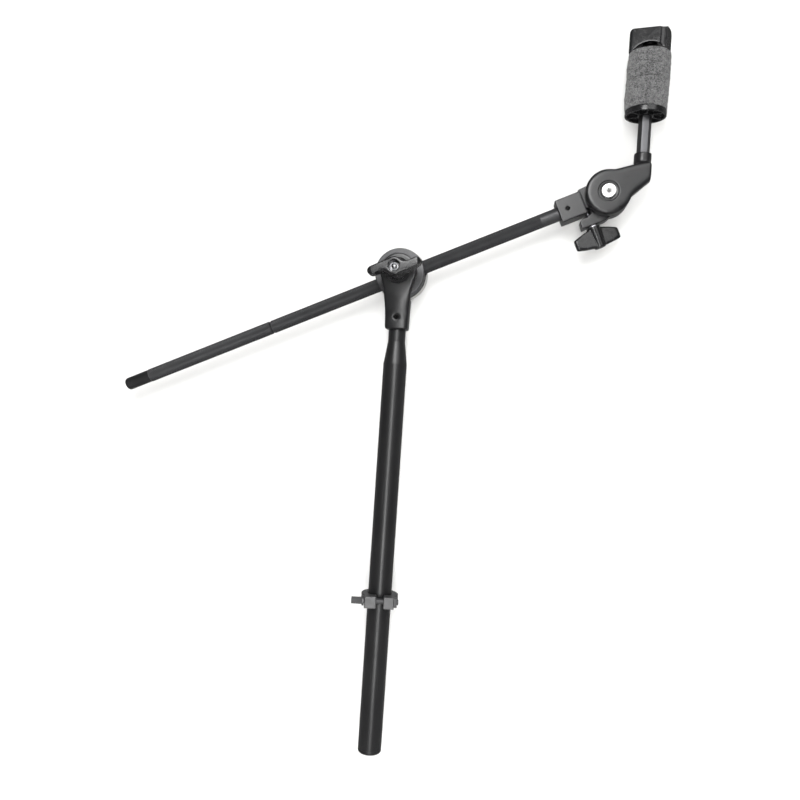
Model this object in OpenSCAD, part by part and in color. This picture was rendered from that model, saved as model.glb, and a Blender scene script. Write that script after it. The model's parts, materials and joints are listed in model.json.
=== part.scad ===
// Boom holder for a cymbal: post, tilter, knurled boom, small head tilter, felts and nut.
// Origin: centre of the post's lower end face. +Z up the post, +X towards the cymbal, wings face -Y.

/* [Post] */
// Outside diameter of the post tube
post_d = 22.2; // [22:0.1:23]
// Wall of the post tube
post_wall = 1.5; // [1:0.1:2.5]
// Outside diameter of the neck above the shoulder
neck_d = 16.1; // [15:0.1:17]
// Height at which the shoulder begins
shoulder_z = 368.2; // [300:0.1:375]
// Height of the stop collar's middle
collar_z = 146.5; // [60:0.5:280]
// Height of a collar lug
collar_h = 11; // [9:0.5:14]
// Turn of the collar's lugs from the front, about the post
collar_turn = 10; // [-45:1:45]

/* [Tilter] */
// Height of the tilter's axis
tilter_z = 453.3; // [450:0.1:460]
// Radius of the clutch drum's front half
drum_r = 23.2; // [22.5:0.1:24]
// Radius of the bracket's ear
ear_r = 17; // [15:0.1:18]
// Span of the large wing nut
wing_span = 49.2; // [44:0.1:56]
// Turn of the large wing nut about its own axis
wing_turn = 11.6; // [0:0.1:90]

/* [Boom] */
// Diameter of the boom rod
boom_d = 12.7; // [12.5:0.1:13]
// How far the boom's centre line passes below the tilter's axis
boom_drop = 1.7; // [0:0.1:2]
// Elevation of the boom above the horizontal
boom_el = 24.1; // [0:0.1:40]
// Distance from the tilter's axis to the boom's far tip
tip_s = 294; // [260:1:320]
// Distance from the tilter's axis to the hub of the head
hub_s = 202.3; // [195:0.1:220]

/* [Head] */
// Radius of the head arm's round hub
hub_r = 20.5; // [19.5:0.1:21]
// Width across flats of the hexagonal stem
stem_af = 10.2; // [10:0.1:11]
// Turn of the small wing nut about its own bolt
jaw_turn = 17; // [-90:1:90]
// Height of the stem's shoulder above the hub
seat_dz = 70.4; // [65:0.1:80]
// Diameter of a felt
felt_d = 37.6; // [34:0.1:42]
// Thickness of one felt
felt_h = 25.6; // [20:0.1:28]
// Turn of the top nut about the stem
nut_turn = -13; // [-90:1:90]

/* [Hidden] */
$fn = 64;

// running is the radial gap of a turning or sliding fit, air the gap between faces that pass.
running = 0.05;
air = 0.3;
overcut = 1;

// Post: plug below, tube, conical shoulder, neck that ends inside the bracket's socket.
post_r = post_d / 2;
neck_r = neck_d / 2;
plug_h = 4;
plug_spigot = 18;
shoulder_h = 21;
bracket_z = tilter_z - 52.8;
neck_top = bracket_z + 25;

// Collar: split ring, lugs on its front, clamping bolt along its own X.
collar_r = 17.5;
collar_gap = 6.9;
lug_x0 = -14.4;
lug_x1 = 13.2;
lug_front = 22;
collar_bolt_y = -17.6;
collar_bolt_dz = 0.6;
collar_bolt_r = 2.6;

// Tilter, measured along Y from the boom's plane, and up from the tilter's axis.
ear_front = -21;
ear_back = -12;
drum_half = 11;
groove_r = 7.6;
bolt_r = 4;
spring_seat = -17.5;
wing_base = -22.7;
wing_tip = -52;
pin_dz = -41.6;

// Boom: knurled rod with a ring groove, smooth ends, a cap at its far tip.
boom_r = boom_d / 2;
boom_bore = 4.6;
cap_len = 26;
groove_s = -135;
rod_in = 31;

// Knuckle, in the boom's own frame with its hub at the origin.
block_u0 = -47;
block_u1 = -23;
block_top = 11;
block_bottom = -10.3;
block_half_y = 9.5;
ring_y0 = -3.5;
ring_y1 = 9.5;
ring_r = 20.3;
hub_drum_r = 17;
jaw_u = -21.6;
jaw_y = 3;
jaw_r = 3;
lug_v = -21.6;
jaw_wing_v0 = -23;
jaw_wing_v1 = -42.8;
jaw_span = 45;

// Head arm, upright frame with its hub at the origin.
hub_x = hub_s * cos(boom_el) + boom_drop * sin(boom_el);
hub_z = tilter_z + hub_s * sin(boom_el) - boom_drop * cos(boom_el);
arm_y0 = -15;
arm_y1 = -4;
dish_y = -13.1;
stem_x = 28.7;
stem_y = -5;
socket_r = 7.7;
socket_top = 36.7;
spigot_r = 5;
stud_r = 4;
sleeve_r = 5.6;
cup_r = 18.3;
cup_h = 4.9;
felt_z0 = seat_dz + cup_h;
felt_gap = 0.1;
nut_z0 = felt_z0 + 2 * felt_h + felt_gap + air;
nut_l = 35.8;
nut_w = 17.4;
nut_h = 21.4;
arch_h = 8.2;
stud_top = nut_z0 + 16;

// Points of a circular arc from angle a0 to a1.
function arc(cx, cy, r, a0, a1, steps = 12) =
    [for (i = [0 : steps]) let (a = a0 + (a1 - a0) * i / steps) [cx + r * cos(a), cy + r * sin(a)]];

// A cylinder along Y from y0 to y1.
module rod_y(r, y0, y1) {
    translate([0, y1, 0])
        rotate([90, 0, 0])
            cylinder(r = r, h = y1 - y0);
}

// A flat shape drawn in X and Z, given thickness along Y from y0 to y1.
module plate_y(y0, y1) {
    translate([0, y1, 0])
        rotate([90, 0, 0])
            linear_extrude(y1 - y0)
                children();
}

// A cylinder along X from x0 to x1.
module rod_x(r, x0, x1) {
    translate([x0, 0, 0])
        rotate([0, 90, 0])
            cylinder(r = r, h = x1 - x0);
}

module at_collar() {
    translate([0, 0, collar_z])
        rotate([0, 0, collar_turn])
            children();
}

module at_tilter() {
    translate([0, 0, tilter_z])
        children();
}

// The boom's own frame: X along the boom, Z square to it, origin at distance s.
module on_boom(s = 0) {
    at_tilter()
        rotate([0, -boom_el, 0])
            translate([s, 0, -boom_drop])
                children();
}

module at_hub() {
    translate([hub_x, 0, hub_z])
        children();
}

module at_stem(dz = 0) {
    at_hub()
        translate([stem_x, stem_y, dz])
            children();
}

// Frame of the jaw bolt: Z runs along the bolt, square to the boom.
module at_jaw() {
    on_boom(hub_s)
        translate([jaw_u, jaw_y, 0])
            children();
}

// Tube seen in half section: outer contour with the shoulder, inner contour one wall inside it.
module post_tube() {
    z1 = shoulder_z + shoulder_h;
    outer = [[post_r, plug_h], [post_r, shoulder_z], [neck_r, z1], [neck_r, neck_top]];
    inner = [[neck_r - post_wall, neck_top], [neck_r - post_wall, z1],
        [post_r - post_wall, shoulder_z], [post_r - post_wall, plug_h]];
    color("#1b1b1c")
        rotate_extrude()
            polygon(concat(outer, inner));
}

module post_plug() {
    rim = 2.2;
    skin = 0.1;
    spigot = post_r - post_wall - skin;
    color("#161616")
        rotate_extrude()
            polygon(concat(
                [[0, 0]],
                arc(post_r - rim, rim, rim, -90, 0),
                [[post_r, plug_h], [spigot, plug_h], [spigot, plug_h + plug_spigot],
                    [spigot - 1.6, plug_h + plug_spigot], [spigot - 1.6, plug_h], [0, plug_h]]));
}

module stop_collar() {
    ring_h = collar_h - 2.4;
    color("#3a3a3b")
        at_collar()
            difference() {
                union() {
                    translate([0, 0, -ring_h / 2])
                        cylinder(r = collar_r, h = ring_h);
                    translate([lug_x0, -lug_front, -collar_h / 2])
                        cube([lug_x1 - lug_x0, lug_front - 12, collar_h]);
                }
                translate([0, 0, -collar_h])
                    cylinder(r = post_r + running, h = 2 * collar_h);
                translate([-collar_gap / 2, -lug_front - overcut, -collar_h])
                    cube([collar_gap, lug_front - 4, 2 * collar_h]);
                translate([0, collar_bolt_y, collar_bolt_dz])
                    rod_x(collar_bolt_r + running, lug_x0 - overcut, lug_x1 + overcut);
            }
}

module collar_nut() {
    half = 4.2;
    color("#5d5d5e")
        at_collar()
            translate([lug_x1, collar_bolt_y, collar_bolt_dz])
                difference() {
                    translate([0, -half, -half])
                        cube([2.6, 2 * half, 2 * half]);
                    rod_x(collar_bolt_r + running, -overcut, 5);
                }
}

module collar_bolt() {
    flange_t = 2;
    head_l = 9.8;
    head_half = 2.75;
    color("#4a4a4b")
        at_collar()
            translate([0, collar_bolt_y, collar_bolt_dz]) {
                rod_x(collar_bolt_r, lug_x0 - air, lug_x1 + 4);
                rod_x(4.6, lug_x0 - air - flange_t, lug_x0 - air);
                translate([lug_x0 - air - flange_t - head_l, -head_half, -head_half])
                    cube([head_l, 2 * head_half, 2 * head_half]);
            }
}

// Outline of the bracket from the front: socket sides, waist and round ear.
module bracket_outline() {
    waist = 13;
    foot = 10.7;
    polygon([[-foot, bracket_z - tilter_z], [foot, bracket_z - tilter_z], [foot + 0.8, -34],
        [waist, -16], [15.6, -6], [-15.6, -6], [-waist, -16], [-foot - 0.8, -34]]);
    circle(r = ear_r);
}

// Outline of the bracket from the side, drawn in Y and Z: tall ear in front, short socket behind.
module bracket_side() {
    foot = bracket_z - tilter_z;
    polygon([[-12.4, foot], [12, foot], [12, -27.4], [9.5, -25.2], [-9, -25.2], [-11.4, -24],
        [ear_back, -22], [ear_back, ear_r + 1], [ear_front, ear_r + 1], [ear_front, -12],
        [-19.2, -22], [-14.6, -36]]);
}

// Plan of the bracket: half round behind the neck, wide enough in front for the ear.
module bracket_plan() {
    back_r = 11;
    polygon(concat(
        [[-18, -22], [18, -22], [18, -12], [13.2, -9]],
        arc(0, 0, back_r, 0, 180, 24),
        [[-13.2, -9], [-18, -12]]));
}

module tilter_bracket() {
    color("#202021")
        at_tilter()
            difference() {
                intersection() {
                    plate_y(ear_front, 12)
                        bracket_outline();
                    rotate([90, 0, 90])
                        translate([0, 0, -30])
                            linear_extrude(60)
                                bracket_side();
                    translate([0, 0, bracket_z - tilter_z - overcut])
                        linear_extrude(90)
                            bracket_plan();
                }
                translate([0, 0, bracket_z - tilter_z - overcut])
                    cylinder(r = neck_r + running, h = neck_top - bracket_z + overcut + air);
                rod_y(bolt_r + running, ear_front - overcut, 0);
                rod_y(6.9, spring_seat, ear_back + overcut);
                translate([0, 0, pin_dz])
                    rod_y(2.1, -20, 0);
            }
}

module bracket_pin() {
    color("#101010")
        at_tilter()
            translate([0, 0, pin_dz])
                difference() {
                    rod_y(2, -12.4, -neck_r - 0.1);
                    rod_y(1, -13, -10.5);
                }
}

// Cross-section ring k of a coil spring along Y, as a closed polygon of points.
function coil_ring(k, per_turn, mean_r, wire_r, pitch, sides) =
    let (a = 360 * k / per_turn, y = pitch * k / per_turn)
    [for (i = [0 : sides - 1])
        let (b = 360 * i / sides, rr = mean_r + wire_r * cos(b))
        [rr * cos(a), y + wire_r * sin(b), rr * sin(a)]];

module release_spring() {
    per_turn = 16;
    turns = 3;
    sides = 6;
    last = per_turn * turns;
    rings = [for (k = [0 : last]) each coil_ring(k, per_turn, 5.6, 0.55, 1.25, sides)];
    walls = [for (k = [0 : last - 1], i = [0 : sides - 1])
        let (j = (i + 1) % sides)
        [k * sides + i, k * sides + j, (k + 1) * sides + j, (k + 1) * sides + i]];
    caps = [[for (i = [sides - 1 : -1 : 0]) i], [for (i = [0 : sides - 1]) last * sides + i]];
    color("silver")
        at_tilter()
            translate([0, spring_seat + 0.7, 0])
                polyhedron(points = rings, faces = concat(walls, caps));
}

// One half of the drum between two Y planes, grooved for the sleeve and hollow for the eye.
module drum_half_solid(y0, y1, rim_step) {
    difference() {
        union() {
            at_tilter()
                rod_y(drum_r, y0, y1);
            children();
        }
        on_boom()
            rod_x(groove_r + running, -drum_r - 5, drum_r + 5);
        on_boom()
            rod_x(10.5, -4.8, 4.8);
        at_tilter()
            rod_y(bolt_r + 0.1, -drum_half - overcut, 0);
        at_tilter()
            translate([0, rim_step, 0])
                difference() {
                    rod_y(drum_r + 3, 0, 0.7);
                    rod_y(drum_r - 1, -overcut, 2);
                }
    }
}

module clutch_disc_front() {
    color("#262627")
        drum_half_solid(-drum_half, -0.3, -7);
}

module clutch_disc_rear() {
    color("#2b2b2c")
        drum_half_solid(0.3, drum_half, 6.4)
            at_tilter() {
                rod_y(drum_r + 1.2, 2, 5.4);
                rod_y(drum_r + 1.2, 8, drum_half);
            }
}

module eye_bolt() {
    color("silver")
        difference() {
            union() {
                on_boom()
                    rod_x(10.3, -4.6, 4.6);
                at_tilter()
                    rod_y(bolt_r, -46, -8.6);
            }
            on_boom()
                rod_x(groove_r + running, -5, 5);
        }
}

module friction_washer() {
    color("#303030")
        at_tilter()
            difference() {
                rod_y(15.5, -11.8, -drum_half);
                rod_y(bolt_r + 0.3, -13, -10);
            }
}

module clutch_washer() {
    color("silver")
        at_tilter()
            difference() {
                rod_y(8.8, -22.6, -21.2);
                rod_y(bolt_r + 0.2, -24, -20);
            }
}

// Large wing nut from the front: each blade is hollowed on its leading side and rounded at its tip.
function wing_outline(half, boss_r = 7.9, hollow_r = 9.9, tip_r = 3.6) =
    let (side = concat(
        arc(0, 0, boss_r, 95, 60, 4),
        arc(12.6, hollow_r + 2.5, hollow_r, 215, 302, 10),
        arc(half - tip_r, 1, tip_r, 98, -75, 8)))
    concat(side, -side);

// The same wing from above, drawn in X and Y: thin tips far out on the bolt.
module wing_plan(half) {
    tip_y = wing_tip + 1.5;
    polygon([[4, -26], [half, -37.5], [half, -47.5], [half - 3, tip_y], [3 - half, tip_y],
        [-half, -47.5], [-half, -37.5], [-4, -26]]);
}

module clutch_wing() {
    half = wing_span / 2;
    hole_r = 5;
    color("#141414")
        at_tilter()
            rotate([0, -wing_turn, 0])
                difference() {
                    union() {
                        translate([0, wing_base, 0])
                            rotate([90, 0, 0])
                                cylinder(r1 = 10.4, r2 = 8, h = wing_base - wing_tip);
                        intersection() {
                            plate_y(wing_tip, wing_base)
                                polygon(wing_outline(half));
                            translate([0, 0, -10])
                                linear_extrude(20)
                                    wing_plan(half);
                        }
                    }
                    rod_y(hole_r, wing_tip - overcut, -40);
                    rod_y(4.6, -41, wing_base + overcut);
                }
}

module clutch_wing_insert() {
    color("silver")
        at_tilter()
            rotate([0, -wing_turn, 0])
                difference() {
                    rod_y(4.55, -42, wing_base - 0.2);
                    rod_y(bolt_r + running, -44, wing_base + overcut);
                }
}

module boom_sleeve() {
    half = 21.2;
    color("#3a3a3a")
        on_boom()
            difference() {
                rod_x(groove_r, -half, half);
                rod_x(boom_r + running, -half - overcut, half + overcut);
                translate([-half - overcut, 0, -0.6])
                    cube([2 * half + 2 * overcut, 10, 1.2]);
            }
}

// Half section of the rod along its axis; the bore takes the end cap's spigot.
module boom_rod() {
    x0 = -tip_s + cap_len;
    x1 = hub_s - rod_in;
    notch = 0.6;
    color("#1e1e1f")
        difference() {
            on_boom()
                rotate([0, 90, 0])
                    rotate_extrude()
                        polygon([[boom_bore, x0], [boom_r - 0.3, x0], [boom_r, x0 + 0.6],
                            [boom_r, groove_s - 1], [boom_r - notch, groove_s - 0.6],
                            [boom_r - notch, groove_s + 0.6], [boom_r, groove_s + 1],
                            [boom_r, x1], [boom_bore, x1]]);
            on_boom(hub_s - 38)
                rod_y(1.55, -block_half_y, block_half_y);
        }
}

module boom_end_cap() {
    cap_r = boom_r - 0.3;
    dome = 3;
    color("#131313")
        on_boom(-tip_s)
            rotate([0, 90, 0])
                rotate_extrude()
                    polygon(concat(
                        [[0, 0]],
                        arc(cap_r - dome, dome, dome, -90, 0),
                        [[cap_r, cap_len], [boom_bore - 0.1, cap_len], [boom_bore - 0.1, cap_len + 14],
                            [0, cap_len + 14]]));
}

// Clamp ring, its web to the block and the lug below, drawn along and square to the boom.
module ring_outline() {
    difference() {
        union() {
            circle(r = ring_r);
            polygon([[block_u1 - 2, -5], [block_u1 - 2, block_top], [-22.8, 13.8], [-14.2, 14.4],
                [-15.5, -5]]);
            polygon([[-31.5, -14.4], [-19.5, -9.6], [-12, -13], [-4, -19.6], [-9.5, lug_v],
                [-32, lug_v]]);
        }
        rotate(206)
            translate([15, -1.2])
                square([13, 2.4]);
    }
}

module knuckle() {
    color("#262627")
        on_boom(hub_s)
            difference() {
                union() {
                    plate_y(ring_y0, ring_y1)
                        ring_outline();
                    translate([block_u0, -block_half_y, block_bottom])
                        cube([block_u1 - block_u0, 2 * block_half_y, block_top - block_bottom]);
                }
                rod_y(hub_drum_r + running, -20, 20);
                rod_x(boom_r + running, block_u0 - overcut, -rod_in + 0.2);
                translate([-38, 0, 0])
                    rod_y(1.6, -12, 12);
                translate([jaw_u, jaw_y, lug_v - overcut])
                    cylinder(r = jaw_r + running, h = 32);
                translate([jaw_u - 4.2, jaw_y - 4.2, 3.8])
                    cube([8.4, 20, 5]);
            }
}

module knuckle_pin() {
    color("#0c0c0c")
        on_boom(hub_s - 38)
            difference() {
                rod_y(1.5, -9, 9);
                rod_y(0.8, -12, 12);
            }
}

module jaw_nut() {
    half = 4;
    color("#5d5d5e")
        at_jaw()
            difference() {
                translate([-half, -half, 4])
                    cube([2 * half, 2 * half, 4.6]);
                cylinder(r = jaw_r + running, h = 12);
            }
}

module jaw_bolt() {
    color("silver")
        at_jaw()
            translate([0, 0, jaw_wing_v1 + 8])
                cylinder(r = jaw_r, h = 9 - jaw_wing_v1 - 8);
}

module jaw_washer() {
    color("silver")
        at_jaw()
            translate([0, 0, jaw_wing_v0 + 0.05])
                difference() {
                    cylinder(r = 6, h = lug_v - jaw_wing_v0 - 0.35);
                    translate([0, 0, -overcut])
                        cylinder(r = jaw_r + 0.1, h = 5);
                }
}

module jaw_wing() {
    half = jaw_span / 2;
    color("#141414")
        at_jaw()
            difference() {
                union() {
                    translate([0, 0, jaw_wing_v1])
                        cylinder(r1 = 5, r2 = 6.3, h = jaw_wing_v0 - jaw_wing_v1);
                    for (side = [0, 180])
                        rotate([0, 0, side + jaw_turn])
                            hull() {
                                translate([4, 0, -41.6])
                                    cylinder(r = 3.6, h = 17, $fn = 32);
                                translate([half - 2.6, 0, -39.6])
                                    cylinder(r = 2.6, h = 10.4, $fn = 32);
                            }
                }
                translate([0, 0, jaw_wing_v1 + 8])
                    cylinder(r = jaw_r + 0.05, h = 20);
            }
}

// Head arm from the front: round hub, straight neck that widens up to the socket.
module arm_outline() {
    circle(r = hub_r);
    polygon([[3.6, 20], [20.5, 25.1], [35.2, 27.6], [36.3, 26], [36.3, 11.7], [33.8, 9.2],
        [21, -2.7], [19, -7.4], [0, 0]]);
}

module head_arm() {
    color("#232324")
        at_hub()
            difference() {
                union() {
                    plate_y(arm_y0, arm_y1)
                        arm_outline();
                    translate([stem_x, stem_y, 11])
                        cylinder(r = socket_r, h = socket_top - 11);
                }
                translate([stem_x, stem_y, 15])
                    cylinder(r = spigot_r + running, h = 40);
                rod_y(9, arm_y0 - overcut, dish_y);
                rod_y(4.1, -16, 0);
            }
}

module hub_drum() {
    color("#4a4a4b")
        at_hub()
            difference() {
                rod_y(hub_drum_r, arm_y1, 9.9);
                rod_y(4.1, -10, 12);
            }
}

// Cap screw through arm, drum and rear washer; its head has a hexagonal recess.
module pivot_screw() {
    color("gainsboro")
        at_hub()
            difference() {
                union() {
                    rod_y(4, arm_y0, 18);
                    rod_y(6.4, -16.2, dish_y);
                }
                rod_y(2.3, -17, -14.6, $fn = 6);
            }
}

module pivot_dish() {
    color("#38383a")
        at_hub()
            difference() {
                rod_y(8.9, -13.8, dish_y);
                rod_y(6.5, -15, -12);
            }
    color("#38383a")
        at_hub()
            difference() {
                rod_y(8.9, -14.4, -13.8);
                rod_y(8, -15, -12);
            }
}

module pivot_washer() {
    color("#2a2a2b")
        at_hub()
            difference() {
                rod_y(19, 9.9, 11.7);
                rod_y(4.1, 9, 13);
            }
}

module pivot_nut() {
    color("silver")
        at_hub()
            difference() {
                rod_y(7.2, 11.7, 17, $fn = 6);
                rod_y(4.05, 11, 19);
            }
}

module hex_stem() {
    color("#6c6c6e")
        at_stem() {
            translate([0, 0, 15.2])
                cylinder(r = spigot_r, h = seat_dz - 16);
            translate([0, 0, socket_top])
                cylinder(r = stem_af / 2 / cos(30), h = seat_dz - socket_top, $fn = 6);
            translate([0, 0, seat_dz - 1])
                cylinder(r = stud_r, h = stud_top - seat_dz + 1);
        }
}

// Seat: thin plate under the felt, deep rim, hub on the stem and spokes between them.
module seat_cup() {
    spokes = 6;
    rim = 1.8;
    plate = 1.6;
    spoke = 1.7;
    color("#161616")
        at_stem(seat_dz)
            difference() {
                union() {
                    difference() {
                        cylinder(r = cup_r, h = cup_h);
                        translate([0, 0, -overcut])
                            cylinder(r = cup_r - rim, h = cup_h - plate + overcut);
                    }
                    cylinder(r = 7.2, h = cup_h);
                    for (k = [0 : spokes - 1])
                        rotate([0, 0, 360 * (k + 0.5) / spokes])
                            translate([6, -spoke / 2, 0.6])
                                cube([cup_r - 7, spoke, cup_h - 1]);
                }
                translate([0, 0, -overcut])
                    cylinder(r = stud_r + running, h = cup_h + 2 * overcut);
            }
}

module stem_sleeve() {
    color("ivory")
        at_stem(felt_z0)
            difference() {
                cylinder(r = sleeve_r, h = 2 * felt_h - 3);
                translate([0, 0, -overcut])
                    cylinder(r = stud_r + running, h = 2 * felt_h + overcut);
            }
}

module felt(z0) {
    color("#858585")
        at_stem(z0)
            difference() {
                cylinder(d = felt_d, h = felt_h);
                translate([0, 0, -overcut])
                    cylinder(r = sleeve_r + 0.2, h = felt_h + 2 * overcut);
            }
}

module felt_lower() {
    felt(felt_z0);
}

module felt_upper() {
    felt(felt_z0 + felt_h + felt_gap);
}

module nut_insert() {
    color("silver")
        at_stem(nut_z0)
            difference() {
                union() {
                    translate([0, 0, arch_h - 1.6])
                        cylinder(r = 7, h = 1.4);
                    translate([0, 0, arch_h - 1])
                        cylinder(r = 6, h = 11);
                }
                translate([0, 0, arch_h - 3])
                    cylinder(r = stud_r + running, h = 14);
            }
}

// One half of the top nut's plan: a long flat, a finger hollow and a rounded end.
function nut_side(half_l, half_w, hollow_r = 5.7, off = 3.6) = concat(
    arc(13, -half_w - off, hollow_r, 180 - asin(off / hollow_r), 70, 8),
    arc(half_l - 3, 0, 3, -30, 0, 4),
    arc(half_l - 3, half_w - 3, 3, 15, 90, 6));

// Plan of the top nut: both halves are the same outline, turned half a turn about the stem.
module nut_plan() {
    side = nut_side(nut_l / 2, nut_w / 2);
    polygon(concat(side, -side));
}

module top_nut() {
    corner = 4;
    half_l = nut_l / 2;
    arch_r = 16.8;
    color("#1a1a1a")
        at_stem(nut_z0)
            rotate([0, 0, nut_turn])
                difference() {
                    intersection() {
                        linear_extrude(nut_h)
                            nut_plan();
                        plate_y(-nut_w, nut_w)
                            polygon(concat(
                                [[-half_l - 1, -1], [half_l + 1, -1]],
                                arc(half_l - corner + 0.01, nut_h - corner, corner, 0, 90, 6),
                                arc(corner - half_l - 0.01, nut_h - corner, corner, 90, 180, 6)));
                    }
                    translate([0, 0, arch_h - arch_r])
                        rod_y(arch_r, -nut_w, nut_w);
                    translate([0, 0, arch_h - 4])
                        cylinder(r = 7.3, h = 4.5);
                    translate([0, 0, arch_h - 1])
                        cylinder(r = 6 + running, h = 11.3);
                }
}

post_tube();
post_plug();
stop_collar();
collar_nut();
collar_bolt();
tilter_bracket();
bracket_pin();
release_spring();
clutch_disc_front();
clutch_disc_rear();
eye_bolt();
friction_washer();
clutch_washer();
clutch_wing();
clutch_wing_insert();
boom_sleeve();
boom_rod();
boom_end_cap();
knuckle();
knuckle_pin();
jaw_nut();
jaw_bolt();
jaw_washer();
jaw_wing();
head_arm();
hub_drum();
pivot_screw();
pivot_dish();
pivot_washer();
pivot_nut();
hex_stem();
seat_cup();
stem_sleeve();
felt_lower();
felt_upper();
nut_insert();
top_nut();
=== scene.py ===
import json
import math

import bpy
import numpy as np
from mathutils import Matrix, Vector, noise


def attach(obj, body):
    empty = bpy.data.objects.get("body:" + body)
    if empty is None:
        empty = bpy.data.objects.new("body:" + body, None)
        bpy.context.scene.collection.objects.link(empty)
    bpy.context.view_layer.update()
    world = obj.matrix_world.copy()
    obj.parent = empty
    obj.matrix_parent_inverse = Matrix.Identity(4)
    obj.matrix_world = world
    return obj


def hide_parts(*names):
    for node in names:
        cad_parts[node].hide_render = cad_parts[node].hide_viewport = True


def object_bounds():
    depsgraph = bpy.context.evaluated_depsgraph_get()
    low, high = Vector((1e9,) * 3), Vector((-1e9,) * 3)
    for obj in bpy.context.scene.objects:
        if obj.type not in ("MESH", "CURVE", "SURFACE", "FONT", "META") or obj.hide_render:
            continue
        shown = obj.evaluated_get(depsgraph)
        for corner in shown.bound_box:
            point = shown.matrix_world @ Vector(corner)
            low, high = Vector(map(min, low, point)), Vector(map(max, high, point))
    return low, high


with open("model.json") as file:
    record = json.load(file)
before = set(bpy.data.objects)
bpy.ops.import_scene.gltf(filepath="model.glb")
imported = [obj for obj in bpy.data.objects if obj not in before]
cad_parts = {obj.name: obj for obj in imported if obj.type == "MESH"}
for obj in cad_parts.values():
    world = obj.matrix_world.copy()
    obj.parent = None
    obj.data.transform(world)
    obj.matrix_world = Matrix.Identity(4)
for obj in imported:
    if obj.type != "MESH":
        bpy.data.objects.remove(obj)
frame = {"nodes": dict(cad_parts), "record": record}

MM = 0.001
FRONT = Vector((0, -1, 0))
CAD_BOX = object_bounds()
RECORD = frame["record"]
JOINTS = {joint["name"]: joint for joint in RECORD["behaviour"]["joints"]}
BODY_OF = {node: body for body, nodes in RECORD["behaviour"]["bodies"].items() for node in nodes}
SLOT_OF = {part["node"]: part["material_slot"] for part in RECORD["subparts"]}


# ---------------------------------------------------------------- places

def local_frame(origin, x_axis=(1, 0, 0), z_axis=(0, 0, 1)):
    """Matrix from local millimetres to the row frame in metres."""
    x = Vector(x_axis).normalized()
    z = Vector(z_axis).normalized()
    turn = Matrix((x, z.cross(x), z)).transposed().to_4x4()
    return Matrix.Translation(Vector(origin)) @ turn @ Matrix.Scale(MM, 4)


def box_mm(node, place):
    """Lowest and highest corner of a CAD node in a local frame, in millimetres."""
    back = place.inverted()
    points = [back @ vertex.co for vertex in frame["nodes"][node].data.vertices]
    low = Vector([min(p[axis] for p in points) for axis in range(3)])
    high = Vector([max(p[axis] for p in points) for axis in range(3)])
    return low, high


def joint_point(name):
    return Vector(JOINTS[name]["pos_m"])


def joint_axis(name):
    return Vector(JOINTS[name]["axis"])


# The large wing nut stands a little off level on its bolt.
WING_TURN = math.radians(11.6)
BOOM_DIRECTION = -joint_axis("boom_slide")
HUB_POINT = joint_point("head_tilt")
STEM_POINT = joint_point("seat_turn")

POST = local_frame((0, 0, 0))
TILTER = local_frame(joint_point("boom_tilt"))
BOOM = local_frame(joint_point("boom_roll"), BOOM_DIRECTION, joint_axis("jaw_wing_turn"))
HUB = local_frame(HUB_POINT)
STEM = local_frame((STEM_POINT.x, STEM_POINT.y, HUB_POINT.z))
EYE_BOLT = local_frame(joint_point("boom_tilt"), (1, 0, 0), FRONT)
CLUTCH_BOLT = local_frame(joint_point("boom_tilt"), (math.cos(WING_TURN), 0, math.sin(WING_TURN)), FRONT)
JAW_BOLT = local_frame(joint_point("jaw_wing_turn"), BOOM_DIRECTION, -joint_axis("jaw_wing_turn"))
PIVOT_SCREW = local_frame(HUB_POINT, (1, 0, 0), FRONT)


# ---------------------------------------------------------------- mesh tools

def add_mesh(name, points, faces, place):
    """A smooth-shaded mesh object from local points."""
    mesh = bpy.data.meshes.new(name)
    mesh.from_pydata([place @ Vector(p) for p in points], [], faces)
    mesh.validate()
    mesh.update()
    obj = bpy.data.objects.new(name, mesh)
    bpy.context.collection.objects.link(obj)
    shade(obj)
    return obj


def add_box(name, place, low, high):
    """A plain block, used only as a cutting tool."""
    corners = [(x, y, z) for x in (low[0], high[0]) for y in (low[1], high[1]) for z in (low[2], high[2])]
    faces = [(0, 1, 3, 2), (4, 6, 7, 5), (0, 4, 5, 1), (2, 3, 7, 6), (0, 2, 6, 4), (1, 5, 7, 3)]
    return add_mesh(name, corners, faces, place)


def shade(obj, angle=40):
    """Smooth shading that keeps edges sharper than the angle, in degrees."""
    obj.data.shade_smooth()
    obj.data.set_sharp_from_angle(angle=math.radians(angle))


def settle(obj):
    """Replaces the object's mesh by what its modifiers make of it."""
    graph = bpy.context.evaluated_depsgraph_get()
    mesh = bpy.data.meshes.new_from_object(obj.evaluated_get(graph))
    obj.modifiers.clear()
    obj.data = mesh


def points_of(obj):
    """The object's points in metres, as an array with one row for each point."""
    flat = np.empty(len(obj.data.vertices) * 3)
    obj.data.vertices.foreach_get("co", flat)
    return flat.reshape(-1, 3)


def move_points(obj, points):
    obj.data.vertices.foreach_set("co", points.ravel())
    obj.data.update()


def local_points(obj, place):
    """The object's points in a local frame, in millimetres, as an array."""
    back = np.array(place.inverted())
    return points_of(obj) @ back[:3, :3].T + back[:3, 3]


def move_local_points(obj, place, points):
    """Moves the object's points to local points, in millimetres."""
    forward = np.array(place)
    move_points(obj, points @ forward[:3, :3].T + forward[:3, 3])


def ramp(values, start, end):
    """0 at the start value, 1 at the end value and even in between, for each number of an array."""
    return np.clip((values - start) / (end - start), 0, 1)


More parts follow.
